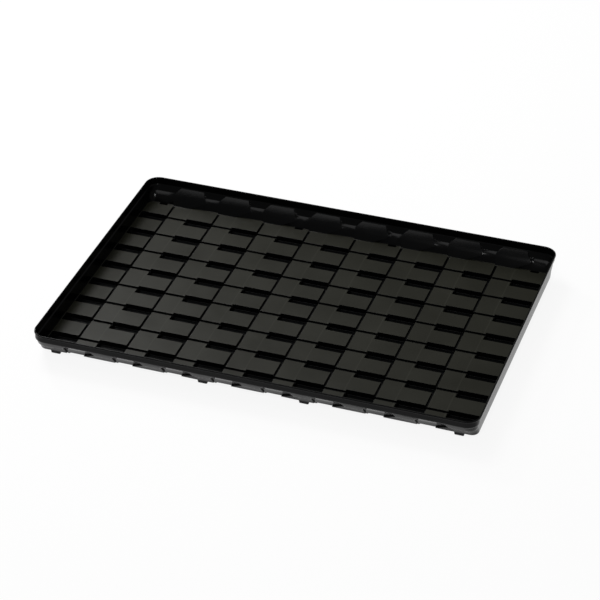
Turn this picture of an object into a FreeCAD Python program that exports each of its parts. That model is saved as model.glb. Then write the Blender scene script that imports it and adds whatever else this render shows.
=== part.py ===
"""Shallow thermoformed plastic tray with a slotted, channelled floor.

One plastic sheet is drawn over a mould, so every form of the top face has
its own bulge on the underside.  The model is made the same way: the outer
skin of a form is added first, and the inner skin, one sheet inside it, is
taken out afterwards.  Lengths are millimetres.  The origin is under the
middle of the tray, in the plane of the slot bottoms that it stands on, with
+X along the long side and +Z up.
"""
import FreeCAD, Part
import math
import os
import Sketcher
from FreeCAD import Vector

OUT_FOLDER = "parts"
SHEET = "sizes"

# Driving dimensions: alias, value, meaning.
SIZES = [
    ("overall_length", 560.0, "rim, outside, along X"),
    ("overall_width", 400.0, "rim, outside, along Y"),
    ("gauge", 1.0, "thickness of the plastic sheet"),
    ("rim_rise", 29.0, "rim above the floor panels"),
    ("rim_land", 2.0, "width of the rim seen from above"),
    ("rim_bead", 0.6, "bevel of the rim's two edges"),
    ("rim_round", 18.0, "corner radius of the rim in plan"),
    ("foot_round", 8.0, "corner radius at the foot of the wall in plan"),
    # the wall from the rim down: height above the floor panels, then the
    # inset from the rim at the short sides and at the long sides
    ("band_rise", 19.8, "foot of the plain band under the rim"),
    ("band_short", 2.4, "its inset at the short sides"),
    ("band_long", 2.6, "its inset at the long sides"),
    ("step_rise", 18.4, "foot of the small step that runs all round"),
    ("step_short", 4.0, "its inset at the short sides"),
    ("step_long", 3.4, "its inset at the long sides"),
    ("knee_rise", 12.0, "outer edge of the shelf in the long sides"),
    ("knee_short", 4.1, "its inset at the short sides"),
    ("knee_long", 7.2, "its inset at the long sides"),
    ("shelf_rise", 8.0, "inner edge of the sloping shelf"),
    ("shelf_short", 4.2, "its inset at the short sides"),
    ("shelf_long", 14.2, "its inset at the long sides"),
    ("foot_short", 4.4, "foot of the wall, inset at the short sides"),
    ("foot_long", 17.7, "foot of the wall, inset at the long sides"),
    # the floor
    ("column_pitch", 63.3, "slot spacing along X"),
    ("row_pitch", 42.7, "slot spacing along Y"),
    ("columns", 9, "slots along X"),
    ("rows", 8, "slots along Y"),
    ("slot_length", 37.4, "slot at the top, along X"),
    ("slot_width", 15.6, "slot at the top, across"),
    ("slot_depth", 6.0, "slot below the floor panels"),
    ("slot_draft", 12.0, "lean of the slot walls in degrees"),
    ("slot_shift", 2.8, "middle slot column from the middle, towards -X"),
    ("channel_width", 3.0, "drain channel at the top"),
    ("channel_depth", 1.5, "drain channel below the floor panels"),
    ("channel_draft", 20.0, "lean of the channel walls in degrees"),
    ("channel_lap", 2.4, "reach of a long channel into the slot ends"),
    ("channel_end", 21.0, "end of a long channel from the rim"),
    ("cross_shift", 2.6, "cross channel from the middle of its slots, along Y"),
    # the ribs that stand in the long walls, one beside each long channel
    ("rib_foot", 24.2, "rib width at the floor"),
    ("rib_foot_shift", 10.8, "its middle from the channel's middle"),
    ("rib_foot_inset", 20.3, "its face from the rim"),
    ("rib_brow", 43.6, "rib width where it is widest"),
    ("rib_brow_shift", 18.4, "its middle from the channel's middle"),
    ("rib_brow_inset", 10.5, "its face from the rim"),
    ("rib_brow_rise", 13.3, "its height above the floor panels"),
    ("rib_crown", 30.4, "rib width at its top"),
    ("rib_crown_shift", 20.1, "its middle from the channel's middle"),
    # stacking notches at the foot of the long walls
    ("notch_near", 64.0, "inner pair from the middle"),
    ("notch_far", 254.5, "outer pair from the middle"),
    ("notch_length", 11.0, "notch along the wall"),
    ("notch_reach", 3.6, "notch into the floor panel"),
    ("notch_depth", 4.0, "notch below the floor panels"),
    ("notch_draft", 10.0, "lean of the notch walls in degrees"),
]
NAMES = {alias for alias, _, _ in SIZES}

# Heights and places that several forms share, as expressions of the sizes.
FLOOR = "( gauge + slot_depth )"
HALF_SPAN = "( columns - 1 ) / 2 * column_pitch"
FIRST_SLOT_X = f"( 0 - slot_shift - {HALF_SPAN} )"
FIRST_CHANNEL_X = f"( {FIRST_SLOT_X} + slot_length / 2 - channel_lap + channel_width / 2 )"
FIRST_CROSS_Y = "( 1 - rows ) / 2 * row_pitch"

# The rim's levels from the top down: height, inset.
RIM = {
    "outer": [("rim_rise", "rim_bead"), ("rim_rise - rim_bead", "0")],
    "inner": [("rim_rise", "rim_land - rim_bead"), ("rim_rise - rim_bead", "rim_land")],
}

# The wall's levels below the rim: height, short inset, long inset.
WALL = [
    ("band_rise", "band_short", "band_long"),
    ("step_rise", "step_short", "step_long"),
    ("knee_rise", "knee_short", "knee_long"),
    ("shelf_rise", "shelf_short", "shelf_long"),
    ("0", "foot_short", "foot_long"),
]

# A rib's levels from the top down: height, width, shift, face and the middle
# of the wall that it grows from, both measured from the rim.
RIB = [
    ("band_rise", "rib_crown", "rib_crown_shift", "band_long", "band_long - gauge / 2"),
    ("rib_brow_rise", "rib_brow", "rib_brow_shift", "rib_brow_inset", "knee_long - gauge"),
    ("0", "rib_foot", "rib_foot_shift", "rib_foot_inset", "foot_long - gauge / 2"),
]


def bound(text):
    """Point the size names of an expression at the spreadsheet's cells."""
    return " ".join(f"{SHEET}.{word}" if word in NAMES else word for word in text.split())


def make_sheet(doc):
    """Put the driving dimensions in a spreadsheet, one alias to a row."""
    sheet = doc.addObject("Spreadsheet::Sheet", SHEET)
    for row, (alias, value, meaning) in enumerate(SIZES, start=1):
        sheet.set(f"A{row}", meaning)
        sheet.set(f"B{row}", str(value))
        sheet.setAlias(f"B{row}", alias)
    doc.recompute()


class TrayBody:
    """The tray's body and the kinds of feature that it is built from."""

    def __init__(self, doc, label):
        self.doc = doc
        self.body = doc.addObject("PartDesign::Body", label)
        self.body.Label = label
        self.origin = {item.Role: item for item in self.body.Origin.OriginFeatures}
        self.ruler = doc.addObject("App::FeaturePython", "ruler")
        self.ruler.addProperty("App::PropertyFloat", "reading")

    def measure(self, text):
        """Work out an expression of the sizes as a plain number."""
        self.ruler.setExpression("reading", bound(text))
        self.ruler.recompute()
        return self.ruler.reading

    def rounded_rectangle(self, name, height, length, width, radius):
        """Sketch a rectangle with round corners, parallel to the floor."""
        sketch = self.body.newObject("Sketcher::SketchObject", name)
        sketch.AttachmentSupport = [(self.origin["XY_Plane"], "")]
        sketch.MapMode = "FlatFace"
        sketch.setExpression("AttachmentOffset.Base.z", bound(height))
        x = self.measure(length) / 2
        y = self.measure(width) / 2
        r = self.measure(radius)
        corners = [Vector(x, y), Vector(-x, y), Vector(-x, -y), Vector(x, -y)]
        for start, end in zip(corners, corners[1:] + corners[:1]):
            setback = (end - start).normalize() * r
            sketch.addGeometry(Part.LineSegment(start + setback, end - setback), False)
        self.round_corners(sketch, x, y, r, radius)
        self.fix_rectangle(sketch, length, width)
        return sketch

    @staticmethod
    def round_corners(sketch, x, y, r, radius):
        """Join the four sides with equal arcs, anticlockwise from the top left."""
        centres = [(r - x, y - r), (r - x, r - y), (x - r, r - y), (x - r, y - r)]
        for corner, centre in enumerate(centres):
            turn = math.pi / 2 * (corner + 1)
            circle = Part.Circle(Vector(*centre, 0), Vector(0, 0, 1), r)
            arc = sketch.addGeometry(Part.ArcOfCircle(circle, turn, turn + math.pi / 2), False)
            sketch.addConstraint(Sketcher.Constraint("Tangent", corner, 2, arc, 1))
            sketch.addConstraint(Sketcher.Constraint("Tangent", arc, 2, (corner + 1) % 4, 1))
            if corner:
                sketch.addConstraint(Sketcher.Constraint("Equal", 4, arc))
        index = sketch.addConstraint(Sketcher.Constraint("Radius", 4, r))
        sketch.renameConstraint(index, "radius")
        sketch.setExpression("Constraints.radius", bound(radius))

    @staticmethod
    def fix_rectangle(sketch, length, width):
        """Centre the four sides on the sketch's zero and bind their two sizes."""
        sketch.addConstraint(Sketcher.Constraint("Horizontal", 2))
        sketch.addConstraint(Sketcher.Constraint("Vertical", 3))
        sketch.addConstraint(Sketcher.Constraint("Symmetric", 0, 1, 0, 2, -2))
        sketch.addConstraint(Sketcher.Constraint("Symmetric", 1, 1, 1, 2, -1))
        spans = [("DistanceX", 1, 3, "length", length), ("DistanceY", 2, 0, "width", width)]
        for kind, side, opposite, name, size in spans:
            ends = [getattr(sketch.Geometry[index].StartPoint, kind[-1].lower()) for index in (side, opposite)]
            span = Sketcher.Constraint(kind, side, 1, opposite, 1, ends[1] - ends[0])
            sketch.renameConstraint(sketch.addConstraint(span), name)
            sketch.setExpression(f"Constraints.{name}", bound(size))

    def feature(self, kind, name, **settings):
        """Add a feature and set its plain properties."""
        feature = self.body.newObject(f"PartDesign::{kind}", name)
        feature.Refine = False
        for key, value in settings.items():
            setattr(feature, key, value)
        return feature

    def loft(self, kind, name, sections):
        """Join level sketches with straight walls, adding or cutting."""
        self.feature(f"{kind}Loft", name, Profile=sections[0], Sections=sections[1:], Ruled=True)

    def block(self, kind, name, top, foot):
        """Add or cut a block with sloping sides between two level rectangles.

        Each rectangle is (height, length, width, middle x, middle y).
        """
        block = self.feature(f"{kind}Wedge", name, MapMode="FlatFace")
        block.AttachmentSupport = [(self.origin["XZ_Plane"], "")]
        for second, (height, length, width, x, y) in (("2", top), ("", foot)):
            block.setExpression("Ymax" if second else "Ymin", bound(height))
            for axis, middle, size in (("X", x, length), ("Z", f"0 - ( {y} )", width)):
                for end, sign in (("min", "-"), ("max", "+")):
                    block.setExpression(f"{axis}{second}{end}", bound(f"{middle} {sign} ( {size} ) / 2"))
        return block

    def repeat(self, name, originals, *ways):
        """Repeat features in a row or a grid; a way is (axis, spacing, count)."""
        pattern = self.feature("LinearPattern", name, Originals=originals)
        for suffix, way in zip(("", "2"), ways):
            self.aim(pattern, *way, suffix)
        self.body.Tip = pattern

    def aim(self, pattern, axis, spacing, count, suffix=""):
        """Bind one of the two directions of a linear pattern."""
        setattr(pattern, f"Direction{suffix}", (self.origin[f"{axis}_Axis"], [""]))
        setattr(pattern, f"Mode{suffix}", "Spacing")
        pattern.setExpression(f"Offset{suffix}", bound(spacing))
        pattern.setExpression(f"Occurrences{suffix}", bound(count))

    def mirror_all(self, name, originals, *planes):
        """Repeat features across one plane after another."""
        multi = self.feature("MultiTransform", name, Originals=originals)
        mirrors = [self.doc.addObject("PartDesign::Mirrored", f"{name}_across_{plane}") for plane in planes]
        for mirror, plane in zip(mirrors, planes):
            mirror.MirrorPlane = (self.origin[plane], [""])
        multi.Transformations = mirrors
        self.body.Tip = multi


def wall_sections(tray, skin):
    """Sketch the rounded rectangles of the wall's outer or inner skin."""
    spread = "gauge" if skin == "outer" else "0"
    levels = [(rise, inset, inset, f"rim_round - ( {inset} )") for rise, inset in RIM[skin]]
    for rise, short_inset, long_inset in WALL:
        widening = f"( rim_round - rim_land - foot_round ) * {rise} / rim_rise"
        insets = (f"{short_inset} - {spread}", f"{long_inset} - {spread}")
        levels.append((f"{rise} - {spread}", *insets, f"foot_round + {widening} + {spread}"))
    sections = []
    for number, (rise, short_inset, long_inset, radius) in enumerate(levels):
        length = f"overall_length - 2 * ( {short_inset} )"
        width = f"overall_width - 2 * ( {long_inset} )"
        name = f"{skin}_wall_level_{number}"
        sections.append(tray.rounded_rectangle(name, f"{FLOOR} + {rise}", length, width, radius))
    return sections


def sunk(depth, draft, skin, length, width, x, y):
    """Give the top and foot of a block that is let into the floor."""
    spread = "gauge" if skin == "outer" else "0"
    top = f"{FLOOR} - {spread}"
    lean = f"2 * {depth} * tan( {draft} )"
    wide = (f"{length} + 2 * {spread}", f"{width} + 2 * {spread}")
    narrow = [f"{size} - {lean}" for size in wide]
    return (top, *wide, x, y), (f"{top} - {depth}", *narrow, x, y)


def slots(tray, skin, kind):
    """Add the bulges of the slots, or cut the slots inside them."""
    middle = (FIRST_SLOT_X, f"{FIRST_CROSS_Y} - cross_shift")
    rectangles = sunk("slot_depth", "slot_draft", skin, "slot_length", "slot_width", *middle)
    first = tray.block(kind, f"slot_{skin}", *rectangles)
    grid = (("X", "column_pitch", "columns"), ("Y", "row_pitch", "rows"))
    tray.repeat(f"slot_{skin}_grid", [first], *grid)


def channels(tray, skin, kind):
    """Add the ridges of the drain channels, or cut the channels in them.

    The long channels run along Y past the slot ends.  The cross channels run
    along X from slot to slot.
    """
    outlines = {
        "long": ("channel_width", "overall_width - 2 * channel_end", FIRST_CHANNEL_X, "0"),
        "cross": (f"2 * {HALF_SPAN}", "channel_width", "0 - slot_shift", FIRST_CROSS_Y),
    }
    ways = {"long": ("X", "column_pitch", "columns - 1"), "cross": ("Y", "row_pitch", "rows")}
    for run, outline in outlines.items():
        rectangles = sunk("channel_depth", "channel_draft", skin, *outline)
        first = tray.block(kind, f"{run}_channel_{skin}", *rectangles)
        tray.repeat(f"{run}_channel_{skin}_row", [first], ways[run])


def ribs(tray, skin, kind):
    """Add the ribs of both long walls, or hollow them from the outside."""
    hollow = skin == "hollow"
    shrink = "gauge" if hollow else "0"
    blocks = []
    for side, sign in (("front", "-1"), ("back", "1")):
        rectangles = []
        for rise, width, shift, face, wall_middle in RIB:
            root = "gauge / 2" if hollow else wall_middle
            drop = "gauge" if hollow or rise == "0" else "0"
            rectangles.append((
                f"{FLOOR} + {rise} - {drop}",
                f"{width} - 2 * {shrink}",
                f"{face} - {shrink} - ( {root} )",
                f"{FIRST_CHANNEL_X} + {shift}",
                f"{sign} * ( overall_width - {face} + {shrink} - ( {root} ) ) / 2",
            ))
        for part, top, foot in (("upper", *rectangles[:2]), ("lower", *rectangles[1:])):
            blocks.append(tray.block(kind, f"rib_{skin}_{side}_{part}", top, foot))
    tray.repeat(f"rib_{skin}_rows", blocks, ("X", "column_pitch", "columns - 1"))


def notches(tray, skin, kind):
    """Add the bulges of the stacking notches, or cut the notches in them."""
    y = "overall_width / 2 - foot_long - notch_reach / 2"
    originals = []
    for x in ("notch_near", "notch_far"):
        rectangles = sunk("notch_depth", "notch_draft", skin, "notch_length", "notch_reach", x, y)
        originals.append(tray.block(kind, f"{x}_{skin}", *rectangles))
    tray.mirror_all(f"notch_{skin}_set", originals, "YZ_Plane", "XZ_Plane")


def build_tray(doc):
    """Form the tray: outer skins first, then the inner skins inside them."""
    tray = TrayBody(doc, "tray")
    tray.loft("Additive", "outer_wall", wall_sections(tray, "outer"))
    tray.loft("Subtractive", "inner_wall", wall_sections(tray, "inner"))
    for form in (channels, slots, notches):
        form(tray, "outer", "Additive")
    ribs(tray, "solid", "Additive")
    ribs(tray, "hollow", "Subtractive")
    for form in (channels, slots, notches):
        form(tray, "inner", "Subtractive")
    doc.removeObject(tray.ruler.Name)
    return tray.body


def check(doc, bodies):
    """Stop before anything is written if an object or a body has failed."""
    failed = [item.Name for item in doc.Objects if {"Invalid", "Error"} & set(item.State)]
    if failed:
        raise RuntimeError(f"objects failed to compute: {failed}")
    for body in bodies:
        shape = body.Shape
        if shape.isNull() or not shape.isValid() or len(shape.Solids) != 1:
            raise RuntimeError(f"{body.Label} isn't one valid solid")


def main():
    doc = FreeCAD.newDocument("floor_tray")
    make_sheet(doc)
    bodies = [build_tray(doc)]
    doc.recompute()
    check(doc, bodies)
    os.makedirs(OUT_FOLDER, exist_ok=True)
    for body in bodies:
        body.Shape.exportStep(f"{OUT_FOLDER}/{body.Label}.step")


main()
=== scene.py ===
"""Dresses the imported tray: one formed sheet of black plastic, on a pale studio floor.

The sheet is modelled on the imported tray's own sizes.  Its floor is cut from one
level face, its walls are drawn up from that face's edge, and the ribs are pushed
in from the long walls.  Solidify then gives the sheet its thickness.
"""
import math

import bmesh
import bpy
from bpy.props import FloatProperty, FloatVectorProperty, IntProperty, PointerProperty
from bpy.types import Operator, Panel, PropertyGroup
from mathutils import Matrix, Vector


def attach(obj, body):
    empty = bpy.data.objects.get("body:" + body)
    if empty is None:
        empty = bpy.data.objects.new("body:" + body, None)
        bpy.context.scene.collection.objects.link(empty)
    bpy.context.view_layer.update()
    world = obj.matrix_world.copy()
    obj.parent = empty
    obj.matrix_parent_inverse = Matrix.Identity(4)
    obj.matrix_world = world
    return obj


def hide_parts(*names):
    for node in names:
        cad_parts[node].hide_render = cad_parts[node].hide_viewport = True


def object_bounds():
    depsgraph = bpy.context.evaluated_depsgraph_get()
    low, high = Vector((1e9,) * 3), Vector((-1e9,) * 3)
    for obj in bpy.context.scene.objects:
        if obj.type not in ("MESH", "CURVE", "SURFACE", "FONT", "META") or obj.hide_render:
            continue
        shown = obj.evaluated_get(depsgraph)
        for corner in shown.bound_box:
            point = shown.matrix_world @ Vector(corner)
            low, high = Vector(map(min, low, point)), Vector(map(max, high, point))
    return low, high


bl_info = {
    "name": "Formed plastic tray",
    "version": (1, 0, 0),
    "blender": (4, 5, 0),
    "location": "View3D > Sidebar > Tray",
    "description": "Models and finishes a thermoformed plastic tray and its studio",
    "category": "Object",
}

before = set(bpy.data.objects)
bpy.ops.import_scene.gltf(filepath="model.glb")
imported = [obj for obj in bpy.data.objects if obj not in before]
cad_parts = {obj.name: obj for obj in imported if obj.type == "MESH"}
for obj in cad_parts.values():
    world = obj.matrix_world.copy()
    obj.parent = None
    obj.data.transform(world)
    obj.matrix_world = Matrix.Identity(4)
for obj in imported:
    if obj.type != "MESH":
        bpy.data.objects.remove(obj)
CAD_BOX = [list(corner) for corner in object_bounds()]
TRAY_SIZE = [high - low for low, high in zip(*CAD_BOX)]
MM = 0.001

# The wall's levels from the foot up, in mm: height above the floor panels,
# inset from the rim at the short sides and at the long sides, corner radius.
WALL_LEVELS = [
    (0.0, 4.4, 17.7, 8.0),
    (8.0, 4.2, 13.9, 10.2),
    (12.0, 4.1, 7.2, 11.3),
    (18.4, 4.0, 3.4, 13.1),
    (19.8, 2.4, 2.6, 13.5),
    (27.4, 2.1, 2.1, 15.6),
    (28.5, 1.9, 1.9, 15.9),
    (29.0, 1.3, 1.3, 16.6),
    (29.0, 0.7, 0.7, 17.2),
    (28.6, 0.2, 0.2, 17.7),
    (27.8, 0.0, 0.0, 18.0),
    (27.0, 0.0, 0.0, 18.0),
]

# Where a rib leaves the wall: for the wall's level, the rib's own height and
# inset, and how far its two sides stand from the channel beside it.
RIB_LEVELS = {
    0.0: (0.0, 20.3, -1.5, 22.9),
    8.0: (8.0, 14.9, -3.9, 43.0),
    12.0: (13.3, 10.5, -3.4, 40.2),
    18.4: (18.4, 4.3, 3.1, 36.4),
    19.8: (19.8, 2.6, 4.9, 35.3),
}
CROWN = 19.8
SHELF = 8.0
STEP = 18.4

# Above the floor a notch's side lines close in, to this share of its length.
NOTCH_PINCH = 0.6

# How far the walls of a sunk form lean in, as a share of its depth.
CHANNEL_LEAN = 0.25
SLOT_LEAN = 0.2
NOTCH_LEAN = 0.15
CORNER_SEGMENTS = 7

# Edges that turn less than this stay plain. The others are rounded by a share
# of the Bevel's width, on the floor and on the walls.
PLAIN_TURN = math.radians(14)
FLOOR_ROUNDING = 0.3
WALL_ROUNDING = 0.5

# Softboxes: name, place, what it looks at, side, and the setting with its power.
LAMPS = [
    ("overhead_softbox", (-1.3, 1.1, 2.0), (0, 0, 0), 1.0, "lamp_power"),
    ("top_panel", (-0.6, -0.2, 2.2), (0, 0, 0), 1.2, "top_power"),
    ("front_strip", (0.4, -2.6, 3.2), (0, 0.19, 0), 0.25, "strip_power"),
    ("side_softbox", (-1.8, 1.5, 1.2), (-0.1, 0, 0), 0.35, "side_power"),
]


class TraySizes(PropertyGroup):
    """Sizes of the formed sheet that can be changed."""

    length: FloatProperty(
        name="Length", description="Rim, outside, along X", default=TRAY_SIZE[0], unit="LENGTH")
    width: FloatProperty(
        name="Width", description="Rim, outside, along Y", default=TRAY_SIZE[1], unit="LENGTH")
    height: FloatProperty(
        name="Height", description="Slot bottoms to rim", default=TRAY_SIZE[2], unit="LENGTH")
    rim_rise: FloatProperty(
        name="Rim rise", description="Rim above the floor panels", default=0.029, unit="LENGTH")
    gauge: FloatProperty(
        name="Gauge", description="Thickness of the sheet", default=0.001, unit="LENGTH")
    column_pitch: FloatProperty(
        name="Column pitch", description="Slots along X", default=0.0633, unit="LENGTH")
    row_pitch: FloatProperty(
        name="Row pitch", description="Slots along Y", default=0.0427, unit="LENGTH")
    columns: IntProperty(name="Columns", description="Number of slots along X", default=9, min=2)
    rows: IntProperty(name="Rows", description="Number of slots along Y", default=8, min=2)
    slot_length: FloatProperty(
        name="Slot length", description="Slot at its top", default=0.0374, unit="LENGTH")
    slot_width: FloatProperty(
        name="Slot width", description="Slot at its top", default=0.0156, unit="LENGTH")
    slot_depth: FloatProperty(
        name="Slot depth", description="Below the floor panels", default=0.006, unit="LENGTH")
    slot_shift: FloatProperty(
        name="Slot shift", description="Middle column, towards -X", default=0.0028, unit="LENGTH")
    channel_width: FloatProperty(
        name="Channel width", description="At its top", default=0.003, unit="LENGTH")
    channel_depth: FloatProperty(
        name="Channel depth", description="Below the panels", default=0.0025, unit="LENGTH")
    cross_width: FloatProperty(
        name="Cross width", description="Cross channel at its top", default=0.0046, unit="LENGTH")
    cross_shift: FloatProperty(
        name="Cross shift", description="Cross channel from its slots' middle",
        default=0.0026, unit="LENGTH")
    margin: FloatProperty(
        name="Margin", description="Channel ends, from the rim", default=0.0214, unit="LENGTH")
    notch_near: FloatProperty(
        name="Near notch", description="Inner stacking notches, from the middle",
        default=0.064, unit="LENGTH")
    notch_far: FloatProperty(
        name="Far notch", description="Outer stacking notches, from the middle",
        default=0.2545, unit="LENGTH")
    notch_length: FloatProperty(
        name="Notch length", description="Along the wall", default=0.011, unit="LENGTH")
    notch_depth: FloatProperty(
        name="Notch depth", description="Below the floor panels", default=0.004, unit="LENGTH")


class TrayFinish(PropertyGroup):
    """Colours and gloss of the plastic."""

    sheet_colour: FloatVectorProperty(
        name="Sheet", description="Black plastic", default=(0.001, 0.0011, 0.0012), subtype="COLOR")
    # Lighter, olive colour of the up-facing floor panels: partly the grained plastic's own, partly painted
    # light from above, while the same sheet in the slots and channels stays black.
    lit_panel_colour: FloatVectorProperty(
        name="Panels", description="Grained floor panels",
        default=(0.0105, 0.0105, 0.0068), subtype="COLOR")
    # Colour of a painted highlight: the faint pale line across the panels beside each column of slots.
    painted_highlight_colour: FloatVectorProperty(
        name="Crease", description="Stretched crease on the panels",
        default=(0.035, 0.035, 0.028), subtype="COLOR")
    wall_roughness: FloatProperty(
        name="Wall roughness", description="Polished walls", default=0.2, subtype="FACTOR")
    panel_roughness: FloatProperty(
        name="Panel roughness", description="Grained panels", default=0.42, subtype="FACTOR")


class StageLook(PropertyGroup):
    """Studio round the tray."""

    paper_colour: FloatVectorProperty(
        name="Paper", description="Floor and sweep", default=(0.8, 0.8, 0.8), subtype="COLOR")
    paper_size: FloatProperty(
        name="Paper size", description="Side of the studio floor", default=8.0, unit="LENGTH")
    lamp_power: FloatProperty(
        name="Lamp power", description="Overhead softbox", default=46.0, unit="POWER")
    side_power: FloatProperty(
        name="Side power", description="Small softbox behind", default=24.0, unit="POWER")
    strip_power: FloatProperty(
        name="Strip power", description="Small softbox high in front", default=34.0, unit="POWER")
    top_power: FloatProperty(name="Top power", description="Dim panel above", default=10.0, unit="POWER")


def add_object(name, bm):
    """Turn a finished bmesh into an object at the origin."""
    mesh = bpy.data.meshes.new(name)
    bm.to_mesh(mesh)
    bm.free()
    piece = bpy.data.objects.new(name, mesh)
    bpy.context.scene.collection.objects.link(piece)
    return piece


# ---------------------------------------------------------------- the sheet


def with_borders(faces):
    """List faces with their edges and vertices."""
    edges = dict.fromkeys(edge for face in faces for edge in face.edges)
    verts = dict.fromkeys(vert for face in faces for vert in face.verts)
    return [*faces, *edges, *verts]


def cut(bm, axis, places, where):
    """Cut the faces whose middle passes a test, square to an axis at several places."""
    across = Vector([float(index == axis) for index in range(3)])
    for place in places:
        faces = [face for face in bm.faces if where(face.calc_center_median())]
        bmesh.ops.bisect_plane(
            bm, geom=with_borders(faces), dist=1e-7, plane_co=across * place, plane_no=across)


def sink(bm, faces, depth, lean):
    """Push part of the floor down, with walls that lean in."""
    bmesh.ops.inset_region(
        bm, faces=faces, thickness=lean, depth=-depth, use_even_offset=True, use_boundary=True)


class FloorPlan:
    """Where the floor's slots, channels, ribs and notches lie."""

    def __init__(self, sizes):
        self.sizes = sizes
        self.top = CAD_BOX[0][2] + sizes.height - sizes.rim_rise
        columns = [(index - (sizes.columns - 1) / 2) * sizes.column_pitch for index in range(sizes.columns)]
        rows = [(index - (sizes.rows - 1) / 2) * sizes.row_pitch for index in range(sizes.rows)]
        slot_columns = [x - sizes.slot_shift for x in columns]
        slot_rows = [y - sizes.cross_shift for y in rows]
        self.slot_x = [(x - sizes.slot_length / 2, x + sizes.slot_length / 2) for x in slot_columns]
        self.slot_y = [(y - sizes.slot_width / 2, y + sizes.slot_width / 2) for y in slot_rows]
        self.channel_x = [(right - sizes.channel_width, right) for left, right in self.slot_x[:-1]]
        self.cross_y = [(y - sizes.cross_width / 2, y + sizes.cross_width / 2) for y in rows]
        self.channel_end = sizes.width / 2 - sizes.margin
        near, far, half = sizes.notch_near, sizes.notch_far, sizes.notch_length / 2
        self.notch_x = [(x - half, x + half) for x in (-far, -near, near, far)]

    def rib_sides(self, level):
        """Give the two sides of each rib at a level of the wall."""
        _, _, left, right = RIB_LEVELS[level]
        middles = [(low + high) / 2 for low, high in self.channel_x]
        return [(x + left * MM, x + right * MM) for x in middles]


def between(value, spans):
    """Say whether a value lies inside one of several spans."""
    return any(low < value < high for low, high in spans)


def on_rim_side(place, plan):
    """Say whether a place lies past the channel ends, beside a long wall."""
    return abs(place.y) > plan.channel_end


def make_floor(bm, plan):
    """Cut the floor out of one face with round corners, and sink its forms."""
    sizes = plan.sizes
    _, short_inset, long_inset, radius = WALL_LEVELS[0]
    length = sizes.length - 2 * short_inset * MM
    width = sizes.width - 2 * long_inset * MM
    bmesh.ops.create_grid(bm, x_segments=1, y_segments=1, size=0.5)
    bmesh.ops.scale(bm, vec=(length, width, 1), verts=bm.verts[:])
    bmesh.ops.translate(bm, vec=(0, 0, plan.top), verts=bm.verts[:])
    bmesh.ops.bevel(
        bm, geom=bm.verts[:], offset=radius * MM, offset_type="OFFSET", segments=CORNER_SEGMENTS, profile=0.5,
        affect="VERTICES", material=-1, clamp_overlap=False)

    cut(bm, 1, (-plan.channel_end, plan.channel_end), lambda place: True)
    channel_sides = [x for span in plan.channel_x for x in span]
    cut(bm, 0, channel_sides, lambda place: not on_rim_side(place, plan))
    row_sides = [y for span in plan.slot_y + plan.cross_y for y in span]
    cut(bm, 1, row_sides, lambda place: not on_rim_side(place, plan))
    slot_ends = [x for span in plan.slot_x for x in span]
    cut(bm, 0, slot_ends, lambda place: between(place.y, plan.slot_y))
    ribs = plan.rib_sides(0.0)
    cut(bm, 0, [x for span in ribs + plan.notch_x for x in span], lambda place: on_rim_side(place, plan))
    rib_face = sizes.width / 2 - RIB_LEVELS[0.0][1] * MM
    cut(bm, 1, (-rib_face, rib_face), lambda place: on_rim_side(place, plan) and between(place.x, ribs))

    low, slots, notches = [], [], []
    last_channel = plan.channel_x[-1][1]
    for face in bm.faces:
        place = face.calc_center_median()
        if on_rim_side(place, plan):
            if between(place.x, plan.notch_x):
                notches.append(face)
            continue
        in_row = between(place.y, plan.slot_y)
        in_slot = in_row and between(place.x, plan.slot_x)
        in_cross = between(place.y, plan.cross_y) and plan.slot_x[0][0] < place.x < plan.slot_x[-1][1]
        if in_slot:
            slots.append(face)
        if in_slot or in_cross or between(place.x, plan.channel_x):
            low.append(face)
    sink(bm, low, sizes.channel_depth, CHANNEL_LEAN * sizes.channel_depth)
    below = sizes.slot_depth - sizes.channel_depth
    sink(bm, slots, below, SLOT_LEAN * below)
    sink(bm, notches, sizes.notch_depth, NOTCH_LEAN * sizes.notch_depth)


def station(vert, plan):
    """Say where on the foot of the wall a vertex stands: quadrant, then place or angle."""
    _, short_inset, long_inset, radius = WALL_LEVELS[0]
    sizes = plan.sizes
    side_x, side_y = math.copysign(1, vert.co.x), math.copysign(1, vert.co.y)
    past_x = abs(vert.co.x) - (sizes.length / 2 - (short_inset + radius) * MM)
    past_y = abs(vert.co.y) - (sizes.width / 2 - (long_inset + radius) * MM)
    if past_x > -1e-6 and past_y > -1e-6:
        return "corner", side_x, side_y, math.atan2(past_y, past_x)
    if past_x > past_y:
        return "short", side_x, side_y, abs(vert.co.y)
    return "long", side_x, side_y, vert.co.x


def wall_place(where, level, plan):
    """Place a wall vertex at a level, from its station at the foot."""
    kind, side_x, side_y, mark = where
    rise, short_inset, long_inset, radius = level
    half_length = plan.sizes.length / 2 - short_inset * MM
    half_width = plan.sizes.width / 2 - long_inset * MM
    z = plan.top + rise * MM
    if kind == "corner":
        x = half_length + (math.cos(mark) - 1) * radius * MM
        y = half_width + (math.sin(mark) - 1) * radius * MM
        return Vector((side_x * x, side_y * y, z))
    if kind == "short":
        return Vector((side_x * half_length, side_y * mark, z))
    shape = RIB_LEVELS.get(min(rise, CROWN), RIB_LEVELS[CROWN])
    for low, high in plan.notch_x:
        if rise > 0 and low - 1e-6 < mark < high + 1e-6:
            mark = (low + high) / 2 + (mark - (low + high) / 2) * NOTCH_PINCH
    for (foot_left, foot_right), middle in zip(plan.rib_sides(0.0), plan.channel_x):
        if abs(mark - foot_left) < 1e-6:
            mark = sum(middle) / 2 + shape[2] * MM
            break
        if abs(mark - foot_right) < 1e-6:
            mark = sum(middle) / 2 + shape[3] * MM
            break
    return Vector((mark, side_y * half_width, z))


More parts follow.
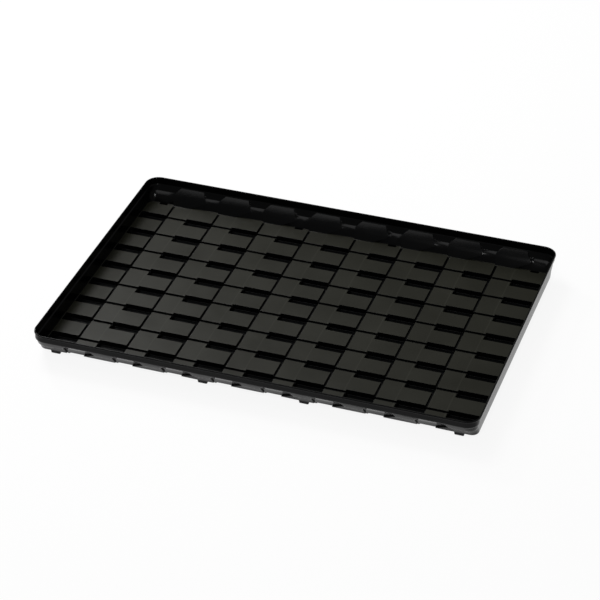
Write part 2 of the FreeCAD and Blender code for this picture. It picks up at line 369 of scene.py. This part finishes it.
def draw_walls(bm, plan):
    """Draw the walls and the rolled rim up from the floor's edge, and return the ribs' faces."""
    ribs = plan.rib_sides(0.0)
    stations = {}
    for edge in bm.edges:
        if edge.is_boundary:
            for vert in edge.verts:
                stations[vert] = station(vert, plan)
    rim = [edge for edge in bm.edges if edge.is_boundary]
    rib_faces = []
    for level in WALL_LEVELS[1:]:
        drawn = bmesh.ops.extrude_edge_only(bm, edges=rim)["geom"]
        fresh = [item for item in drawn if isinstance(item, bmesh.types.BMVert)]
        known = {vert: next(stations[edge.other_vert(vert)] for edge in vert.link_edges
                            if edge.other_vert(vert) in stations) for vert in fresh}
        stations.update(known)
        for vert in fresh:
            vert.co = wall_place(stations[vert], level, plan)
        rim = [item for item in drawn if isinstance(item, bmesh.types.BMEdge) and item.is_boundary]
        if level[0] > CROWN or level[1] < 2.4:
            continue
        for face in (item for item in drawn if isinstance(item, bmesh.types.BMFace)):
            marks = [stations[vert][3] for vert in face.verts if stations[vert][0] == "long"]
            if len(marks) == len(face.verts) and between(sum(marks) / len(marks), ribs):
                rib_faces.append(face)
    return rib_faces


def push_ribs(bm, plan, rib_faces):
    """Push the ribs in from the long walls, over the strip of floor at their feet."""
    sizes = plan.sizes
    rib_face = sizes.width / 2 - RIB_LEVELS[0.0][1] * MM
    ribs = plan.rib_sides(0.0)
    for face in bm.faces:
        place = face.calc_center_median()
        if abs(place.z - plan.top) < 1e-6 and abs(place.y) > rib_face and between(place.x, ribs):
            rib_faces.append(face)
    pushed = bmesh.ops.extrude_face_region(bm, geom=with_borders(rib_faces))["geom"]
    levels = sorted(RIB_LEVELS)
    for vert in (item for item in pushed if isinstance(item, bmesh.types.BMVert)):
        height = (vert.co.z - plan.top) / MM
        level = min(levels, key=lambda rise: abs(rise - height))
        rise, inset, _, _ = RIB_LEVELS[level]
        vert.co.y = math.copysign(sizes.width / 2 - inset * MM, vert.co.y)
        vert.co.z = plan.top + rise * MM


def weigh_edges(bm, plan):
    """Say how round each edge of the sheet is, as a share of the Bevel's width."""
    weights = bm.edges.layers.float.new("bevel_weight_edge")
    slack = 0.1
    for edge in bm.edges:
        if len(edge.link_faces) != 2 or edge.calc_face_angle() < PLAIN_TURN:
            continue
        low, high = sorted((vert.co.z - plan.top) / MM for vert in edge.verts)
        upright = high - low > 0.5
        # the shallow slanting forms round the shelf are too small to round
        under_shelf = slack < high < SHELF + slack and (upright or low > slack)
        from_shelf = upright and abs(low - SHELF) < slack
        if low > CROWN + slack or under_shelf or from_shelf:
            continue
        if high < STEP + 2 * slack or not upright:
            edge[weights] = FLOOR_ROUNDING if high < slack else WALL_ROUNDING
        else:
            edge.smooth = False


def make_sheet(plan):
    """Model the upper skin of the sheet as one open surface."""
    bm = bmesh.new()
    make_floor(bm, plan)
    rib_faces = draw_walls(bm, plan)
    push_ribs(bm, plan, rib_faces)
    bmesh.ops.remove_doubles(bm, verts=bm.verts[:], dist=1e-5)
    bmesh.ops.dissolve_degenerate(bm, edges=bm.edges[:], dist=1e-6)
    bmesh.ops.recalc_face_normals(bm, faces=bm.faces[:])
    upward = sum(face.normal.z * face.calc_area() for face in bm.faces)
    if upward < 0:
        bmesh.ops.reverse_faces(bm, faces=bm.faces[:])
    for face in bm.faces:
        face.smooth = True
    weigh_edges(bm, plan)
    return add_object("tray_sheet", bm)


def finish_sheet(piece, sizes):
    """Round the sheet's edges and give it its thickness."""
    rounding = piece.modifiers.new("Rounding", "BEVEL")
    rounding.limit_method = "WEIGHT"
    rounding.width = MM
    rounding.segments = 2
    rounding.use_clamp_overlap = False
    rounding.miter_outer = "MITER_SHARP"
    shell = piece.modifiers.new("Thickness", "SOLIDIFY")
    shell.thickness = sizes.gauge
    shell.offset = -1.0
    shell.use_even_offset = True
    shell.use_quality_normals = True
    shading = piece.modifiers.new("Shading", "WEIGHTED_NORMAL")
    shading.keep_sharp = True


# ------------------------------------------------------------- the plastic


def add_node(tree, kind, inputs=None, **settings):
    """Add a shader node, set its properties and fill or link its inputs."""
    node = tree.nodes.new(kind)
    for key, value in settings.items():
        setattr(node, key, value)
    for key, value in (inputs or {}).items():
        if isinstance(value, bpy.types.NodeSocket):
            tree.links.new(value, node.inputs[key])
        else:
            node.inputs[key].default_value = value
    return node


def sheet_plastic(finish, plan):
    """Black sheet: polished walls, and floor panels with a fine satin grain, whose lighter tone is partly
    painted light from above, crossed by faint lines of painted highlight.
    """
    material = bpy.data.materials.new("sheet_plastic")
    material.use_nodes = True
    tree = material.node_tree
    tree.nodes.clear()
    place = add_node(tree, "ShaderNodeTexCoord").outputs["Object"]
    height = add_node(tree, "ShaderNodeSeparateXYZ", {"Vector": place}).outputs["Z"]
    facing = add_node(tree, "ShaderNodeNewGeometry").outputs["Normal"]
    up = add_node(tree, "ShaderNodeSeparateXYZ", {"Vector": facing}).outputs["Z"]
    # Mask of the up-facing faces at the floor panels' level: they get the lighter panel colour, partly
    # painted light from above, and a rougher grain.
    above = add_node(tree, "ShaderNodeMapRange", {
        "Value": height, "From Min": plan.top - 0.5 * MM, "From Max": plan.top - 0.2 * MM})
    below = add_node(tree, "ShaderNodeMapRange", {
        "Value": height, "From Min": plan.top + 0.6 * MM, "From Max": plan.top + 0.3 * MM})
    level = add_node(tree, "ShaderNodeMapRange", {"Value": up, "From Min": 0.8, "From Max": 0.97})
    band = add_node(tree, "ShaderNodeMath", {0: above.outputs[0], 1: below.outputs[0]}, operation="MULTIPLY")
    panel = add_node(tree, "ShaderNodeMath", {0: band.outputs[0], 1: level.outputs[0]}, operation="MULTIPLY")

    cloud = add_node(tree, "ShaderNodeTexNoise", {"Vector": place, "Scale": 14.0, "Detail": 3.0})
    grain = add_node(tree, "ShaderNodeTexNoise", {"Vector": place, "Scale": 1400.0, "Detail": 2.0})
    wave = add_node(tree, "ShaderNodeTexNoise", {"Vector": place, "Scale": 30.0, "Detail": 1.0})

    worn = add_node(tree, "ShaderNodeMapRange", {
        "Value": cloud.outputs["Fac"], "From Min": 0.3, "From Max": 0.7, "To Min": 0.9, "To Max": 1.1})
    # a faint pale line of painted highlight, standing in for light caught along a small step of the floor,
    # runs across the panels beside each column of slots
    along = add_node(tree, "ShaderNodeSeparateXYZ", {"Vector": place}).outputs["X"]
    highlight_line_x = plan.slot_x[0][0] - 2.2 * MM
    aside = add_node(tree, "ShaderNodeMath", {0: along, 1: highlight_line_x}, operation="SUBTRACT")
    pitch = plan.sizes.column_pitch
    nearest = add_node(tree, "ShaderNodeMath", {
        0: aside.outputs[0], 1: pitch / 2, 2: -pitch / 2}, operation="WRAP")
    apart = add_node(tree, "ShaderNodeMath", {0: nearest.outputs[0]}, operation="ABSOLUTE")
    pale_highlight = add_node(tree, "ShaderNodeMapRange", {
        "Value": apart.outputs[0], "From Min": 0.0, "From Max": 0.6 * MM, "To Min": 0.45, "To Max": 0.0})
    lit_tint = add_node(tree, "ShaderNodeMix", {
        "Factor": panel.outputs[0], "A": (*finish.sheet_colour, 1), "B": (*finish.lit_panel_colour, 1)},
        data_type="RGBA")
    highlight_on_panels = add_node(tree, "ShaderNodeMath", {
        0: pale_highlight.outputs[0], 1: panel.outputs[0]}, operation="MULTIPLY")
    highlighted = add_node(tree, "ShaderNodeMix", {
        "Factor": highlight_on_panels.outputs[0], "A": lit_tint.outputs["Result"], "B": (*finish.painted_highlight_colour, 1)},
        data_type="RGBA")
    colour = add_node(tree, "ShaderNodeVectorMath", {
        0: highlighted.outputs["Result"], "Scale": worn.outputs[0]}, operation="SCALE")
    rough = add_node(tree, "ShaderNodeMapRange", {
        "Value": panel.outputs[0], "To Min": finish.wall_roughness, "To Max": finish.panel_roughness})
    mottle = add_node(tree, "ShaderNodeMath", {0: rough.outputs[0], 1: worn.outputs[0]}, operation="MULTIPLY")
    soft = add_node(tree, "ShaderNodeBump", {"Height": wave.outputs["Fac"], "Strength": 0.25, "Distance": MM})
    fine = add_node(tree, "ShaderNodeBump", {
        "Height": grain.outputs["Fac"], "Strength": 0.12, "Distance": 0.0002, "Normal": soft.outputs[0]})
    surface = add_node(tree, "ShaderNodeBsdfPrincipled", {
        "Base Color": colour.outputs[0], "Roughness": mottle.outputs[0], "Normal": fine.outputs[0],
        "IOR": 1.5, "Specular IOR Level": 0.12})
    add_node(tree, "ShaderNodeOutputMaterial", {"Surface": surface.outputs[0]})
    return material


class TRAY_OT_sheet(Operator):
    """Model the formed sheet and finish its plastic"""

    bl_idname = "tray.sheet"
    bl_label = "Tray sheet"
    bl_options = {"REGISTER", "UNDO"}

    def execute(self, context):
        scene = context.scene
        plan = FloorPlan(scene.tray_sizes)
        piece = make_sheet(plan)
        finish_sheet(piece, scene.tray_sizes)
        piece.data.materials.append(sheet_plastic(scene.tray_finish, plan))
        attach(piece, "root")
        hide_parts("tray")
        return {"FINISHED"}


# --------------------------------------------------------------- the studio


def paper(look):
    """Pale studio paper, nearly white to the camera and in gloss."""
    material = bpy.data.materials.new("studio_paper")
    material.use_nodes = True
    tree = material.node_tree
    tree.nodes.clear()
    rays = add_node(tree, "ShaderNodeLightPath")
    seen = add_node(tree, "ShaderNodeMath", {
        0: rays.outputs["Is Camera Ray"], 1: rays.outputs["Is Glossy Ray"]}, operation="MAXIMUM")
    through = add_node(tree, "ShaderNodeMath", {
        0: seen.outputs[0], 1: rays.outputs["Is Transmission Ray"]}, operation="MAXIMUM")
    share = add_node(tree, "ShaderNodeMath", {0: through.outputs[0], 1: 0.9}, operation="MULTIPLY")
    matt = add_node(tree, "ShaderNodeBsdfDiffuse", {"Color": (*look.paper_colour, 1)})
    white = add_node(tree, "ShaderNodeEmission", {"Color": (1, 1, 1, 1), "Strength": 1.0})
    mixed = add_node(tree, "ShaderNodeMixShader", {
        "Fac": share.outputs[0], 1: matt.outputs[0], 2: white.outputs[0]})
    add_node(tree, "ShaderNodeOutputMaterial", {"Surface": mixed.outputs[0]})
    return material


def make_floor_paper(look):
    """Lay the paper the tray stands on."""
    bm = bmesh.new()
    bmesh.ops.create_grid(bm, x_segments=1, y_segments=1, size=look.paper_size / 2)
    bmesh.ops.translate(bm, vec=(0, 0, CAD_BOX[0][2] - 0.2 * MM), verts=bm.verts[:])
    floor = add_object("studio_floor", bm)
    floor.data.materials.append(paper(look))


def light_world():
    """Give the room a soft even light, and a white background."""
    world = bpy.data.worlds.new("studio_room")
    world.use_nodes = True
    tree = world.node_tree
    tree.nodes.clear()
    rays = add_node(tree, "ShaderNodeLightPath")
    room = add_node(tree, "ShaderNodeBackground", {"Color": (1, 1, 1, 1), "Strength": 0.2})
    backdrop = add_node(tree, "ShaderNodeBackground", {"Color": (1, 1, 1, 1), "Strength": 1.0})
    mixed = add_node(tree, "ShaderNodeMixShader", {
        "Fac": rays.outputs["Is Camera Ray"], 1: room.outputs[0], 2: backdrop.outputs[0]})
    add_node(tree, "ShaderNodeOutputWorld", {"Surface": mixed.outputs[0]})
    bpy.context.scene.world = world


def add_lamp(name, place, target, size, power):
    """Hang a square softbox that looks at a target."""
    lamp = bpy.data.lights.new(name, "AREA")
    lamp.shape = "SQUARE"
    lamp.size = size
    lamp.energy = power
    holder = bpy.data.objects.new(name, lamp)
    holder.location = place
    holder.rotation_euler = (Vector(target) - Vector(place)).to_track_quat("-Z", "Y").to_euler()
    bpy.context.scene.collection.objects.link(holder)


def add_camera():
    """Stand the camera in front and to the right of the tray, looking down at it."""
    lens = bpy.data.cameras.new("camera")
    lens.lens = 145.8
    lens.sensor_width = 36.0
    camera = bpy.data.objects.new("camera", lens)
    camera.location = (0.78855, -2.39721, 1.69584)
    camera.rotation_euler = [math.radians(angle) for angle in (56.4346, -0.4337, 18.5389)]
    bpy.context.scene.collection.objects.link(camera)
    bpy.context.scene.camera = camera


class TRAY_OT_stage(Operator):
    """Set up the floor, the light and the camera"""

    bl_idname = "tray.stage"
    bl_label = "Studio"
    bl_options = {"REGISTER", "UNDO"}

    def execute(self, context):
        look = context.scene.tray_stage
        make_floor_paper(look)
        light_world()
        for name, place, target, side, power in LAMPS:
            add_lamp(name, place, target, side, getattr(look, power))
        add_camera()
        context.scene.view_settings.view_transform = "Standard"
        return {"FINISHED"}


class TRAY_PT_sidebar(Panel):
    """The tray's sizes, finish and studio"""

    bl_idname = "TRAY_PT_sidebar"
    bl_label = "Formed tray"
    bl_space_type = "VIEW_3D"
    bl_region_type = "UI"
    bl_category = "Tray"

    def draw(self, context):
        for group in (context.scene.tray_sizes, context.scene.tray_finish, context.scene.tray_stage):
            box = self.layout.box()
            for name in group.__annotations__:
                box.prop(group, name)
        for operator in (TRAY_OT_sheet, TRAY_OT_stage):
            self.layout.operator(operator.bl_idname)


CLASSES = (TraySizes, TrayFinish, StageLook, TRAY_OT_sheet, TRAY_OT_stage, TRAY_PT_sidebar)


def register():
    for cls in CLASSES:
        bpy.utils.register_class(cls)
    bpy.types.Scene.tray_sizes = PointerProperty(type=TraySizes)
    bpy.types.Scene.tray_finish = PointerProperty(type=TrayFinish)
    bpy.types.Scene.tray_stage = PointerProperty(type=StageLook)


def unregister():
    del bpy.types.Scene.tray_stage
    del bpy.types.Scene.tray_finish
    del bpy.types.Scene.tray_sizes
    for cls in reversed(CLASSES):
        bpy.utils.unregister_class(cls)


def main():
    register()
    bpy.ops.tray.stage()
    bpy.ops.tray.sheet()


if __name__ == "__main__":
    main()
